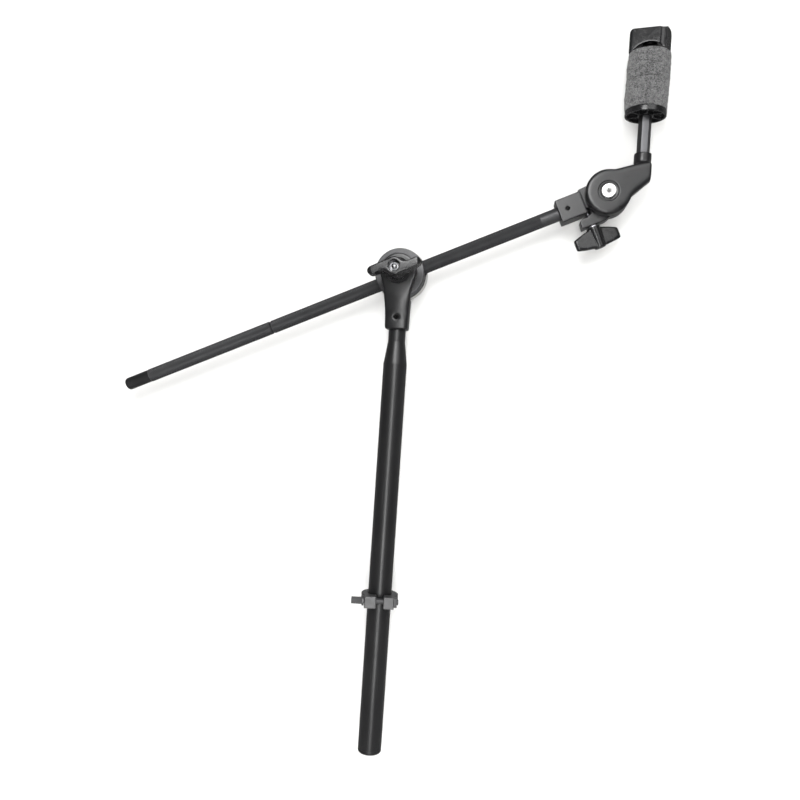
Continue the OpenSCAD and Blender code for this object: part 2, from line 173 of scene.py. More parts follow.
def relax(obj, passes, weight=None):
    """Evens the surface out, which rounds its edges. weight holds 0 to 1 for each point."""
    pull = 0.5
    points = points_of(obj)
    count = len(points)
    ends = np.empty(len(obj.data.edges) * 2, dtype=np.int64)
    obj.data.edges.foreach_get("vertices", ends)
    a, b = ends[0::2], ends[1::2]
    degree = np.maximum(np.bincount(ends, minlength=count), 1)
    share = pull * (np.ones(count) if weight is None else weight)
    for _ in range(passes):
        for axis in range(3):
            column = points[:, axis]
            total = np.bincount(a, column[b], count) + np.bincount(b, column[a], count)
            column += share * (total / degree - column)
    move_points(obj, points)


def restore_span(obj, node, place):
    """Stretches the object along local X until it is as long as the CAD node again."""
    low, high = box_mm(node, place)
    points = local_points(obj, place)
    x = points[:, 0]
    points[:, 0] = low.x + (x - x.min()) / (x.max() - x.min()) * (high.x - low.x)
    move_local_points(obj, place, points)


def voxels(obj, size):
    """Rebuilds the surface in even cells of this many millimetres, joining shells that overlap."""
    remesh = obj.modifiers.new("cells", "REMESH")
    remesh.mode = "VOXEL"
    remesh.voxel_size = size * MM
    settle(obj)


def thin_out(obj, ratio):
    """Fewer triangles where the surface is flat."""
    thin = obj.modifiers.new("thin", "DECIMATE")
    thin.ratio = ratio
    settle(obj)


def cut(obj, tool):
    """Takes the tool's volume out of the object and deletes the tool."""
    knife = obj.modifiers.new("cut", "BOOLEAN")
    knife.operation = "DIFFERENCE"
    knife.solver = "EXACT"
    knife.object = tool
    settle(obj)
    bpy.data.objects.remove(tool)


def copy_of(node, name):
    """A copy of a CAD node's mesh with its seams welded, to be reshaped."""
    mesh = frame["nodes"][node].data.copy()
    mesh.materials.clear()
    obj = bpy.data.objects.new(name, mesh)
    bpy.context.collection.objects.link(obj)
    weld = obj.modifiers.new("weld", "WELD")
    weld.merge_threshold = 1e-6
    settle(obj)
    return obj


def casting(node, name, cell, passes, keep=1.0):
    """A CAD node with the rounded edges of a casting or moulding."""
    obj = copy_of(node, name)
    voxels(obj, cell)
    relax(obj, passes)
    if keep < 1:
        thin_out(obj, keep)
    shade(obj, 180)
    return obj


def bevelled(node, name, width):
    """A CAD node with a small bevel, this many millimetres wide, on its sharp edges."""
    flat_angle, sharp_angle, shading_angle = 0.2, 30, 35
    obj = copy_of(node, name)
    flatten = obj.modifiers.new("flatten", "DECIMATE")
    flatten.decimate_type = "DISSOLVE"
    flatten.angle_limit = math.radians(flat_angle)
    bevel = obj.modifiers.new("bevel", "BEVEL")
    bevel.width = width * MM
    bevel.segments = 3
    bevel.limit_method = "ANGLE"
    bevel.angle_limit = math.radians(sharp_angle)
    settle(obj)
    shade(obj, shading_angle)
    return obj


def fillet(profile, radius, steps=5, closed=True):
    """A profile of 2D points with each corner rounded to the radius, or less where an edge is short."""
    share_of_edge = 0.45
    rounded = []
    count = len(profile)
    for i, corner in enumerate(profile):
        here = Vector(corner)
        if not closed and i in (0, count - 1):
            rounded.append(here)
            continue
        before = Vector(profile[i - 1]) - here
        after = Vector(profile[(i + 1) % count]) - here
        half = before.angle(after) / 2
        reach = min(radius / math.tan(half), before.length * share_of_edge, after.length * share_of_edge)
        start = here + before.normalized() * reach
        end = here + after.normalized() * reach
        for k in range(steps + 1):
            t = k / steps
            rounded.append(start.lerp(here, t).lerp(here.lerp(end, t), t))
    return rounded


def lathe(name, profile, place, segments=96, closed=True):
    """Turns a profile of (radius, height) points about the local Z axis. Points at radius 0 are poles."""
    points, rings = [], []
    for radius, height in profile:
        if radius < 1e-6:
            rings.append([len(points)] * segments)
            points.append((0, 0, height))
            continue
        rings.append(range(len(points), len(points) + segments))
        for k in range(segments):
            angle = math.tau * k / segments
            points.append((radius * math.cos(angle), radius * math.sin(angle), height))
    faces = []
    following = rings[1:] + rings[:1] if closed else rings[1:]
    for lower, upper in zip(rings, following):
        for k in range(segments):
            j = (k + 1) % segments
            face = list(dict.fromkeys((lower[k], lower[j], upper[j], upper[k])))
            if len(face) > 2:
                faces.append(face)
    return add_mesh(name, points, faces, place)


def thread_profile(phase):
    """Height of a V thread, 0 in its root and 1 on its crest, with both slightly flat."""
    wave = abs((phase % 1.0) * 2 - 1)
    return min(1.0, max(0.0, wave * 1.25 - 0.125))


def threaded_rod(name, place, radius, pitch, z0, z1):
    """A solid rod with a real helical thread along local Z, from z0 to z1, chamfered at its end."""
    columns, rows_per_turn = 36, 8
    depth = 0.54 * pitch
    rows = max(2, round((z1 - z0) / pitch * rows_per_turn))
    points, faces = [(0, 0, z0)], []
    for i in range(rows + 1):
        z = z0 + (z1 - z0) * i / rows
        chamfer = min(1.0, (z1 - z) / pitch, (z - z0) / pitch + 0.3)
        for k in range(columns):
            angle = math.tau * k / columns
            crest = thread_profile(z / pitch - k / columns)
            r = radius - depth + depth * min(crest, chamfer)
            points.append((r * math.cos(angle), r * math.sin(angle), z))
    for i in range(rows):
        for k in range(columns):
            j = (k + 1) % columns
            a, b = 1 + i * columns, 1 + (i + 1) * columns
            faces.append((a + k, a + j, b + j, b + k))
    points.append((0, 0, z1))
    top = 1 + rows * columns
    for k in range(columns):
        j = (k + 1) % columns
        faces.append((0, 1 + j, 1 + k))
        faces.append((top + k, top + j, len(points) - 1))
    return add_mesh(name, points, faces, place)


def join(name, parts):
    """One object out of several, as separate shells of one mesh."""
    with bpy.context.temp_override(active_object=parts[0], selected_editable_objects=parts):
        bpy.ops.object.join()
    parts[0].name = name
    parts[0].data.name = name
    return parts[0]


# ---------------------------------------------------------------- material tools

class Surface:
    """A principled material with short calls for the nodes that feed it. Textures use object space."""

    def __init__(self, name, colour, roughness, metallic=0.0, **fixed):
        self.material = bpy.data.materials.new(name)
        self.material.use_nodes = True
        self.material.diffuse_color = (*colour, 1)
        self.nodes = self.material.node_tree.nodes
        self.links = self.material.node_tree.links
        self.shader = self.nodes["Principled BSDF"]
        self.shader.inputs["Base Color"].default_value = (*colour, 1)
        self.shader.inputs["Roughness"].default_value = roughness
        self.shader.inputs["Metallic"].default_value = metallic
        for socket, value in fixed.items():
            self.shader.inputs[socket.replace("_", " ")].default_value = value
        self.place = self.nodes.new("ShaderNodeTexCoord").outputs["Object"]

    def link(self, source, target):
        self.links.new(source, target)
        return self

    def stretched(self, scale):
        """Object coordinates multiplied by one plain ratio for each of X, Y and Z."""
        node = self.nodes.new("ShaderNodeMapping")
        node.inputs["Scale"].default_value = scale
        self.link(self.place, node.inputs["Vector"])
        return node.outputs["Vector"]

    def noise(self, per_mm, detail=4.0, roughness=0.55, vector=None, curl=0.0):
        """Noise with this many cells in a millimetre."""
        node = self.nodes.new("ShaderNodeTexNoise")
        node.inputs["Distortion"].default_value = curl
        node.inputs["Scale"].default_value = per_mm / MM
        node.inputs["Detail"].default_value = detail
        node.inputs["Roughness"].default_value = roughness
        self.link(vector or self.place, node.inputs["Vector"])
        return node.outputs["Fac"]

    def spread(self, value, low, high, to_low, to_high):
        """Maps low..high of a value to to_low..to_high."""
        node = self.nodes.new("ShaderNodeMapRange")
        limits = {"From Min": low, "From Max": high, "To Min": to_low, "To Max": to_high}
        for socket, number in limits.items():
            node.inputs[socket].default_value = number
        self.link(value, node.inputs["Value"])
        return node.outputs["Result"]

    def maths(self, operation, a, b):
        node = self.nodes.new("ShaderNodeMath")
        node.operation = operation
        for socket, value in zip(node.inputs, (a, b)):
            if isinstance(value, (int, float)):
                socket.default_value = value
            else:
                self.link(value, socket)
        return node.outputs["Value"]

    def mix(self, share, first, second):
        """Mixes two colours, each a tuple or another node's colour."""
        node = self.nodes.new("ShaderNodeMix")
        node.data_type = "RGBA"
        self.link(share, node.inputs["Factor"])
        for socket, value in ((node.inputs[6], first), (node.inputs[7], second)):
            if isinstance(value, tuple):
                socket.default_value = (*value, 1)
            else:
                self.link(value, socket)
        return node.outputs[2]

    def clouded(self, colour, per_mm, detail, darkest, lightest, low=0.3, high=0.7, roughness=0.55):
        """The colour in soft clouds, between two shares of its brightness."""
        cloud = self.spread(self.noise(per_mm, detail, roughness), low, high, 0, 1)
        return self.mix(cloud, shaded(colour, darkest), shaded(colour, lightest))

    def distance_from_axis(self, point):
        """Distance in metres from the line through the point along Y."""
        centred = self.nodes.new("ShaderNodeVectorMath")
        centred.operation = "SUBTRACT"
        self.link(self.place, centred.inputs[0])
        centred.inputs[1].default_value = point
        flat = self.nodes.new("ShaderNodeVectorMath")
        flat.operation = "MULTIPLY"
        self.link(centred.outputs["Vector"], flat.inputs[0])
        flat.inputs[1].default_value = (1, 0, 1)
        length = self.nodes.new("ShaderNodeVectorMath")
        length.operation = "LENGTH"
        self.link(flat.outputs["Vector"], length.inputs[0])
        return length.outputs["Value"]

    def edges(self, low=0.52, high=0.6):
        """1 on convex edges, 0 elsewhere. With high below low it is 1 in hollows instead."""
        node = self.nodes.new("ShaderNodeNewGeometry")
        return self.spread(node.outputs["Pointiness"], low, high, 0, 1)

    def colour(self, source):
        return self.link(source, self.shader.inputs["Base Color"])

    def rough(self, source):
        return self.link(source, self.shader.inputs["Roughness"])

    def bump(self, height, depth_mm, strength=1.0):
        """Raises the surface by a height from 0 to 1 times the depth. Bumps add up."""
        node = self.nodes.new("ShaderNodeBump")
        node.inputs["Strength"].default_value = strength
        node.inputs["Distance"].default_value = depth_mm * MM
        self.link(height, node.inputs["Height"])
        normal = self.shader.inputs["Normal"]
        if normal.is_linked:
            self.link(normal.links[0].from_socket, node.inputs["Normal"])
        return self.link(node.outputs["Normal"], normal)


def shaded(colour, factor):
    """The colour at this share of its brightness."""
    return tuple(channel * factor for channel in colour)


def coated(name, colour, roughness, grain, depth, edge_wear_and_highlight):
    """Paint or powder coat: cloudy tone, orange peel, fine grit, and edges lightened towards bare metal in
    patches, partly rubbed wear and partly a painted highlight.
    """
    bare = (0.16, 0.16, 0.165)
    surface = Surface(name, colour, roughness)
    tone = surface.clouded(colour, 0.05, 3, 0.8, 1.25)
    # Convex edges lighten in patches towards bare grey: part wear, part painted edge highlight.
    patches = surface.spread(surface.noise(0.35, detail=6), 0.5, 0.72, 0, 1)
    worn_and_highlit_edges = surface.maths("MULTIPLY", surface.edges(), patches)
    surface.colour(surface.mix(surface.maths("MULTIPLY", worn_and_highlit_edges, edge_wear_and_highlight), tone, bare))
    smudge = surface.noise(0.12, detail=5, roughness=0.6)
    surface.rough(surface.spread(smudge, 0.3, 0.75, roughness - 0.05, roughness + 0.07))
    surface.bump(surface.noise(grain, detail=2), depth)
    surface.bump(surface.noise(grain * 6, detail=2), depth * 0.25)
    return surface.material


def turned_metal(name, colour, roughness, stretch):
    """Bare or plated metal with painted shade darkening its hollows. Its tool lines run along the axes with
    small ratios.
    """
    fine_lines, line_depth = 9.0, 0.004
    surface = Surface(name, colour, roughness, metallic=1.0)
    streaks = surface.noise(1.0, detail=3, vector=surface.stretched(stretch))
    surface.rough(surface.spread(streaks, 0.3, 0.7, roughness - 0.05, roughness + 0.09))
    tone = surface.clouded(colour, 0.15, 4, 0.86, 1.0, high=0.75)
    # Hollows fall to an eighth of the colour: painted shade in the recesses.
    surface.colour(surface.mix(surface.edges(0.47, 0.36), tone, shaded(colour, 0.12)))
    fine_stretch = tuple(fine_lines * value for value in stretch)
    fine = surface.noise(1.0, detail=1, vector=surface.stretched(fine_stretch))
    surface.bump(fine, line_depth)
    return surface.material


def moulded(name, colour, roughness, grain=2.2, depth=0.006):
    """Injection-moulded plastic: even tone, faint flow clouds and a fine spark-eroded texture."""
    surface = Surface(name, colour, roughness)
    surface.colour(surface.clouded(colour, 0.08, 4, 0.85, 1.3, low=0.35, roughness=0.6))
    smudge = surface.noise(0.3, detail=5)
    surface.rough(surface.spread(smudge, 0.3, 0.7, roughness - 0.04, roughness + 0.08))
    surface.bump(surface.noise(grain, detail=3), depth)
    return surface.material


def tube_paint():
    """Satin black tube with faint rubbing marks along it, where a socket and the collar slide."""
    colour, roughness = (0.0085, 0.0085, 0.009), 0.33
    surface = Surface("post_black", colour, roughness)
    tone = surface.clouded(colour, 0.03, 3, 0.85, 1.2)
    rubbed = surface.noise(1.0, detail=4, vector=surface.stretched((1.4, 1.4, 0.022)))
    marks = surface.spread(rubbed, 0.6, 0.8, 0, 0.35)
    surface.colour(surface.mix(marks, tone, (0.035, 0.035, 0.037)))
    surface.rough(surface.spread(rubbed, 0.3, 0.75, roughness - 0.03, roughness + 0.08))
    surface.bump(surface.noise(1.1, detail=2), 0.012)
    surface.bump(surface.noise(6.0, detail=2), 0.003)
    return surface.material


def knurled_paint():
    """Black plating over the knurl: crests a little brighter than the grooves."""
    colour = (0.018, 0.018, 0.0192)
    surface = Surface("boom_black", colour, 0.42, metallic=0.35)
    crest = surface.edges(0.47, 0.58)
    cloud = surface.spread(surface.noise(0.06, detail=4), 0.3, 0.7, 0.7, 1.1)
    tone = surface.mix(surface.maths("MULTIPLY", crest, cloud), shaded(colour, 0.75), (0.06, 0.06, 0.063))
    surface.colour(tone)
    surface.rough(surface.spread(surface.noise(0.4, detail=5), 0.3, 0.7, 0.36, 0.5))
    surface.bump(surface.noise(5.0, detail=2), 0.004)
    return surface.material


def drum_paint():
    """Dark satin drum whose rear rim is bare, lathe-turned steel between two radii in metres."""
    colour, steel, roughness = (0.04, 0.04, 0.042), (0.42, 0.42, 0.41), 0.32
    rim_starts, rim_ends = (0.0236, 0.0239), (0.03, 0.031)
    surface = Surface("drum_black", colour, roughness, metallic=0.3)
    radius = surface.distance_from_axis(tuple(joint_point("boom_tilt")))
    rim = surface.maths("MULTIPLY", surface.spread(radius, *rim_starts, 0, 1),
                        surface.spread(radius, *rim_ends, 1, 0))
    tone = surface.clouded(colour, 0.08, 3, 0.8, 1.25)
    surface.colour(surface.mix(rim, tone, steel))
    smudge = surface.noise(0.2, detail=4)
    surface.rough(surface.spread(smudge, 0.3, 0.7, roughness - 0.04, roughness + 0.08))
    surface.bump(surface.noise(1.0, detail=2, vector=surface.stretched((0.9, 5.0, 0.9))), 0.004)
    return surface.material


def felt_cloth():
    """Pressed wool felt: mottled greys, short curled fibres and a soft sheen."""
    dark, light, fleck = (0.016, 0.0165, 0.017), (0.19, 0.19, 0.192), (0.32, 0.32, 0.32)
    surface = Surface("felt_grey", (0.16, 0.16, 0.16), 0.95, Sheen_Weight=0.25, Sheen_Roughness=0.6)
    surface.shader.inputs["Specular IOR Level"].default_value = 0.1
    blotches = surface.noise(0.22, detail=5, roughness=0.66)
    curls = surface.noise(0.42, detail=5, roughness=0.7, vector=surface.stretched((1, 1, 1.5)), curl=2.2)
    upright = surface.stretched((1.6, 1.6, 0.8))
    strands = surface.noise(1.9, detail=4, roughness=0.7, vector=upright, curl=1.4)
    share = surface.maths("ADD", surface.spread(blotches, 0.38, 0.62, 0.0, 0.6),
                          surface.spread(curls, 0.42, 0.58, -0.5, 0.75))
    base = surface.mix(share, dark, light)
    surface.colour(surface.mix(surface.spread(strands, 0.56, 0.7, 0, 0.5), base, fleck))
    surface.rough(surface.spread(blotches, 0.3, 0.7, 0.88, 1.0))
    surface.bump(curls, 1.0)
    surface.bump(strands, 0.45)
    return surface.material


def make_materials():
    """One material for each of the record's slots."""
    return {
        "post_black": tube_paint(),
        "plug_plastic": moulded("plug_plastic", (0.008, 0.008, 0.0085), 0.42),
        "collar_grey": coated("collar_grey", (0.042, 0.042, 0.0435), 0.34, 1.4, 0.012, edge_wear_and_highlight=0.6),
        "casting_black": coated("casting_black", (0.008, 0.008, 0.0085), 0.32, 0.7, 0.0015, edge_wear_and_highlight=0.15),
        "drum_black": drum_paint(),
        "pin_black": turned_metal("pin_black", (0.006, 0.006, 0.006), 0.4, (0.9, 0.2, 0.9)),
        "spring_steel": turned_metal("spring_steel", (0.42, 0.42, 0.44), 0.28, (0.9, 0.9, 0.9)),
        "zinc_steel": turned_metal("zinc_steel", (0.36, 0.36, 0.375), 0.28, (0.35, 1.5, 0.35)),
        "white_nickel": turned_metal("white_nickel", (0.8, 0.8, 0.79), 0.26, (1.3, 1.3, 1.3)),
        "fibre": moulded("fibre", (0.03, 0.028, 0.026), 0.75, grain=1.5, depth=0.03),
        "nylon_grey": moulded("nylon_grey", (0.055, 0.055, 0.057), 0.45),
        "boom_black": knurled_paint(),
        "stem_steel": turned_metal("stem_steel", (0.125, 0.125, 0.13), 0.34, (1.6, 1.6, 0.06)),
        "wing_plastic": moulded("wing_plastic", (0.0065, 0.0065, 0.007), 0.22),
        "felt_grey": felt_cloth(),
    }


MATERIALS = make_materials()


def stand_for(obj, *nodes):
    """The piece takes the place of CAD nodes: their body, their slot and that slot's material."""
    slot = SLOT_OF[nodes[0]]
    obj.data.materials.clear()
    obj.data.materials.append(MATERIALS[slot])
    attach(obj, BODY_OF[nodes[0]])
    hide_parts(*nodes)
    return obj


def dress_cad_nodes():
    """Every CAD node gets its slot's material. The steel insert in the top nut gets the black pin material
    instead, as painted shade under the nut's arch.
    """
    # The insert is dark as painted shade, in place of its steel's glint.
    dark_for_painted_shade = {"nut_insert"}
    for node, obj in frame["nodes"].items():
        material = MATERIALS["pin_black" if node in dark_for_painted_shade else SLOT_OF[node]]
        for holder in obj.material_slots:
            holder.material = material
        if not obj.material_slots:
            obj.data.materials.append(material)


# ---------------------------------------------------------------- post

def turned_contour(node):
    """Outer and inner contour of a plain turned node, as (radius, height) points, read from its mesh."""
    levels = {}
    for vertex in frame["nodes"][node].data.vertices:
        x, y, z = (value / MM for value in vertex.co)
        levels.setdefault(round(z, 1), []).append(math.hypot(x, y))
    outer = [(max(radii), z) for z, radii in sorted(levels.items())]
    inner = [(min(radii), z) for z, radii in sorted(levels.items(), reverse=True)]
    return outer, inner


def make_post():
    """Tube with a soft shoulder and broken edges."""
    shoulder_r, shoulder_steps, rim_r, rim_steps = 9.0, 10, 0.35, 5
    outer, inner = turned_contour("post_tube")
    rims = fillet([outer[0], outer[-1], inner[0], inner[-1]], rim_r, rim_steps)
    outside = fillet(outer, shoulder_r, shoulder_steps, closed=False)
    inside = fillet(inner, shoulder_r, shoulder_steps, closed=False)
    corner = rim_steps + 1
    profile = rims[:corner] + outside[1:-1] + rims[corner:-corner] + inside[1:-1] + rims[-corner:]
    return stand_for(lathe("post", profile, POST, segments=128), "post_tube")


def make_collar():
    """Split ring with its square nut and bolt."""
    stand_for(casting("stop_collar", "collar", 0.35, 5, keep=0.5), "stop_collar")
    stand_for(bevelled("collar_nut", "collar_square_nut", 0.5), "collar_nut")
    stand_for(bevelled("collar_bolt", "collar_bolt_head", 0.45), "collar_bolt")


# ---------------------------------------------------------------- tilter

def make_bracket():
    """Cast socket and ear: soft edges, and a front that is crowned from side to side below the ear."""
    crown, edge_passes, face_passes = 0.013, 12, 40
    bore_zone_r, crown_from_z, crown_full_z = 9.0, -9.0, -31.0
    front_y, half_width, blend = -8.0, 14.0, 3.0
    obj = casting("tilter_bracket", "tilter_casting", 0.45, 7)
    x, y, z = local_points(obj, TILTER).T
    below_ear = ramp(z, crown_from_z, crown_full_z)
    in_front = ramp(y, front_y, front_y - blend)
    on_face = ramp(np.abs(x), half_width, half_width - blend) * in_front * below_ear
    world = points_of(obj)
    world[:, 1] += crown * x * x * below_ear * in_front * MM
    move_points(obj, world)
    relax(obj, edge_passes, weight=ramp(np.hypot(x, z), bore_zone_r, bore_zone_r + 2.0))
    relax(obj, face_passes, weight=on_face)
    shade(obj, 180)
    return stand_for(obj, "tilter_bracket")


def make_spring():
    """Release spring in the rear of the ear's bore: an even helix of round wire."""
    mean_r, wire_r, turns, sides, per_turn = 5.6, 0.55, 3, 12, 40
    low, high = box_mm("release_spring", TILTER)
    first, last = low.y + wire_r, high.y - wire_r
    points, faces = [], []
    steps = turns * per_turn
    for k in range(steps + 1):
        angle = math.tau * k / per_turn
        travel = first + (last - first) * k / steps
        for i in range(sides):
            turn = math.tau * i / sides
            r = mean_r + wire_r * math.cos(turn)
            points.append((r * math.cos(angle), travel + wire_r * math.sin(turn), r * math.sin(angle)))
    for k in range(steps):
        for i in range(sides):
            j = (i + 1) % sides
            a, b = k * sides, (k + 1) * sides
            faces.append((a + i, b + i, b + j, a + j))
    faces.append(tuple(range(sides)))
    faces.append(tuple(range((steps + 1) * sides - 1, steps * sides - 1, -1)))
    return stand_for(add_mesh("spring_coil", points, faces, TILTER), "release_spring")


def make_drum():
    """Both discs of the clutch drum, with soft edges."""
    for node, name in (("clutch_disc_front", "drum_front"), ("clutch_disc_rear", "drum_rear")):
        stand_for(casting(node, name, 0.38, 3, keep=0.5), node)


def make_eye_bolt():
    """Eye round the boom with a threaded M8 shank and a turned point."""
    shank_start, shank_r, pitch, overlap, clear = 10.5, 4.0, 1.25, 0.5, 6
    point_r, point_length, cone_length, tip_r, tip_length = 2.7, 2.2, 1.1, 1.1, 0.25
    eye = copy_of("eye_bolt", "eye")
    low = box_mm("eye_bolt", TILTER)[0]
    tip = -low.y
    shank_end = tip - point_length
    cut(eye, add_box("shank_cut", TILTER, (-clear, low.y - 1, -clear), (clear, -shank_start, clear)))
    shank = threaded_rod("shank", EYE_BOLT, shank_r, pitch, shank_start - overlap, shank_end)
    dome = [(0, shank_end - 1), (point_r, shank_end - 1), (point_r, tip - cone_length),
            (tip_r, tip - tip_length), (0, tip)]
    point = lathe("point", fillet(dome, 0.5, closed=False), EYE_BOLT, segments=48, closed=False)
    return stand_for(join("clutch_eye_bolt", [eye, shank, point]), "eye_bolt")


# ---------------------------------------------------------------- wing nuts

def soften_wing(obj, node, place, boss_passes, tip_passes):
    """Runs boss and blades into each other, rounds the blade tips and keeps the wing's full span."""
    # The surface within hole_r of the bolt keeps its shape.
    hole_r, boss_r, blade_r, tip_r = 6.2, 10.0, 15.0, 21.0
    x, y = local_points(obj, place).T[:2]
    reach = np.hypot(x, y)
    near_boss = ramp(reach, blade_r, boss_r) * ramp(reach, hole_r, hole_r + 1.2)
    near_tip = ramp(reach, tip_r - 8.0, tip_r)
    relax(obj, boss_passes, weight=near_boss)
    relax(obj, tip_passes, weight=near_tip)
    restore_span(obj, node, place)
    shade(obj, 180)


def make_large_wing():
    """Wing nut whose blades end level with its boss, with a skirt that overhangs its narrow foot."""
    node, blade_front = "clutch_wing", 50.2
    neck_r, foot_scale = 8.0, 0.84
    skirt_r, skirt_top_r, skirt_foot, rim_height, skirt_height = 12.0, 10.0, 24.4, 0.8, 3.4
    obj = copy_of(node, "large_wing_nut")
    points = local_points(obj, CLUTCH_BOLT)
    points[:, 2] = np.minimum(points[:, 2], blade_front)
    move_local_points(obj, CLUTCH_BOLT, points)
    voxels(obj, 0.36)
    relax(obj, 5)
    soften_wing(obj, node, CLUTCH_BOLT, boss_passes=30, tip_passes=20)
    points = local_points(obj, CLUTCH_BOLT)
    in_foot = (points[:, 2] < skirt_foot) & (np.hypot(points[:, 0], points[:, 1]) > neck_r)
    points[in_foot, :2] *= foot_scale
    move_local_points(obj, CLUTCH_BOLT, points)
    rim_top, skirt_top = skirt_foot + rim_height, skirt_foot + skirt_height
    profile = [(neck_r, skirt_foot), (skirt_r, skirt_foot), (skirt_r, rim_top), (skirt_top_r, skirt_top),
               (neck_r, skirt_top)]
    skirt = lathe("skirt", fillet(profile, 0.3), CLUTCH_BOLT)
    return stand_for(join("large_wing_nut", [obj, skirt]), node)


def make_small_wing():
    """Wing of the jaw bolt, with blades that are thick and round at their tips."""
    obj = casting("jaw_wing", "small_wing_nut", 0.3, 10)
    soften_wing(obj, "jaw_wing", JAW_BOLT, boss_passes=24, tip_passes=150)
    return stand_for(obj, "jaw_wing")


# ---------------------------------------------------------------- boom

def make_boom():
    """Rod with a diamond knurl cut in the mesh, a ring groove and a smooth end in the knuckle."""
    low, high = box_mm("boom_rod", BOOM)
    start, end, radius = low.x, high.x, high.y
    columns, pitch, knurl_depth = 64, 0.62, 0.26
    groove_at, groove_half, floor_half, groove_depth = -135.0, 1.1, 0.6, 0.6
    bore_r, lead_in, start_bevel, end_bevel = 4.6, 0.6, 0.45, 0.4
    smooth_from, smooth_gap = end - 33.0, 0.3
    rings = []

    def add_ring(z, r, sunk=0.0):
        """One ring of points, every second one sunk. The sunk ones shift by one point from ring to ring."""
        shift = len(rings) % 2
        rings.append([(r - sunk * ((k + shift) % 2), math.tau * k / columns, z) for k in range(columns)])

    def add_knurl(first, last):
        """Knurled stretch between two plain rings."""
        rows = round((last - first) / pitch)
        for i in range(rows + 1):
            add_ring(first + (last - first) * i / rows, radius, knurl_depth if 0 < i < rows else 0.0)

    add_ring(start, bore_r)
    add_ring(start, radius - start_bevel)
    add_knurl(start + lead_in, groove_at - groove_half)
    add_ring(groove_at - floor_half, radius - groove_depth)
    add_ring(groove_at + floor_half, radius - groove_depth)
    add_knurl(groove_at + groove_half, smooth_from)
    add_ring(smooth_from + smooth_gap, radius)
    add_ring(end - end_bevel, radius)
    add_ring(end, radius - end_bevel)
    add_ring(end, bore_r)

    points = [(r * math.cos(angle), r * math.sin(angle), z) for ring in rings for r, angle, z in ring]
    faces = []
    for i in range(len(rings)):
        lower, upper = i * columns, ((i + 1) % len(rings)) * columns
        for k in range(columns):
            j = (k + 1) % columns
            a, b, c, d = lower + k, lower + j, upper + j, upper + k
            deep = rings[i][k][0] < rings[i][j][0]
            faces += [(a, b, c), (a, c, d)] if deep else [(a, b, d), (b, c, d)]
    obj = add_mesh("knurled_boom", points, faces, BOOM @ Matrix.Rotation(math.pi / 2, 4, "Y"))
    shade(obj, 12)
    return stand_for(obj, "boom_rod")


# ---------------------------------------------------------------- head

def make_knuckle():
    """Cast block with its split clamp ring and lug."""
    return stand_for(casting("knuckle", "clamp_knuckle", 0.42, 6), "knuckle")


def make_jaw_bolt():
    """Bolt of the small wing, threaded M6 from end to end."""
    radius, pitch = 3.0, 1.0
    low, high = box_mm("jaw_bolt", JAW_BOLT)
    return stand_for(threaded_rod("jaw_threaded_bolt", JAW_BOLT, radius, pitch, low.z, high.z), "jaw_bolt")


def make_head_arm():
    """Cast arm: a broad round-over on its front edge, soft edges elsewhere."""
    front_passes, edge_passes = 100, 6
    dish_r, socket_z, front_depth, blend = 11.0, 30.0, 5.5, 3.0
    obj = casting("head_arm", "tilter_arm", 0.45, 5)
    x, y, z = local_points(obj, HUB).T
    front = box_mm("head_arm", HUB)[0].y + front_depth
    near_front = ramp(y, front, front - blend)
    off_dish = ramp(np.hypot(x, z), dish_r, dish_r + 2.5)
    off_socket = ramp(z, socket_z, socket_z - 4.0)
    relax(obj, front_passes, weight=near_front * off_dish * off_socket)
    relax(obj, edge_passes, weight=off_dish)
    shade(obj, 180)
    return stand_for(obj, "head_arm")


def make_pivot():
    """Cap screw with a hexagonal socket, its rear nut and washer, and the dished ring round its head."""
    shaft_r, head_height, head_edge = 4.0, 3.1, 0.6
    socket_r, socket_depth, mouth_depth, mouth_rise, through = 2.3, 1.6, 0.45, 0.25, 1
    low, high = box_mm("pivot_screw", PIVOT_SCREW)
    head_r, face = high.x, high.z
    seat = face - head_height
    profile = [(0, low.z), (shaft_r, low.z), (shaft_r, seat), (head_r, seat), (head_r, face), (0, face)]
    screw = lathe("cap_screw", fillet(profile, head_edge, closed=False), PIVOT_SCREW, closed=False)
    foot, brim = face - mouth_depth, face + mouth_rise
    mouth = [(0, foot), (socket_r, foot), (socket_r + mouth_depth + mouth_rise, brim), (0, brim)]
    cut(screw, lathe("mouth", mouth, PIVOT_SCREW, segments=48, closed=False))
    floor, top = face - socket_depth, face + through
    pocket = [(0, floor), (socket_r, floor), (socket_r, top), (0, top)]
    cut(screw, lathe("pocket", pocket, PIVOT_SCREW, segments=6, closed=False))
    shade(screw, 30)
    stand_for(screw, "pivot_screw")
    stand_for(bevelled("pivot_nut", "pivot_hex_nut", 0.4), "pivot_nut")
    stand_for(bevelled("pivot_washer", "pivot_rear_washer", 0.5), "pivot_washer")
    stand_for(bevelled("pivot_dish", "dished_ring", 0.12), "pivot_dish")


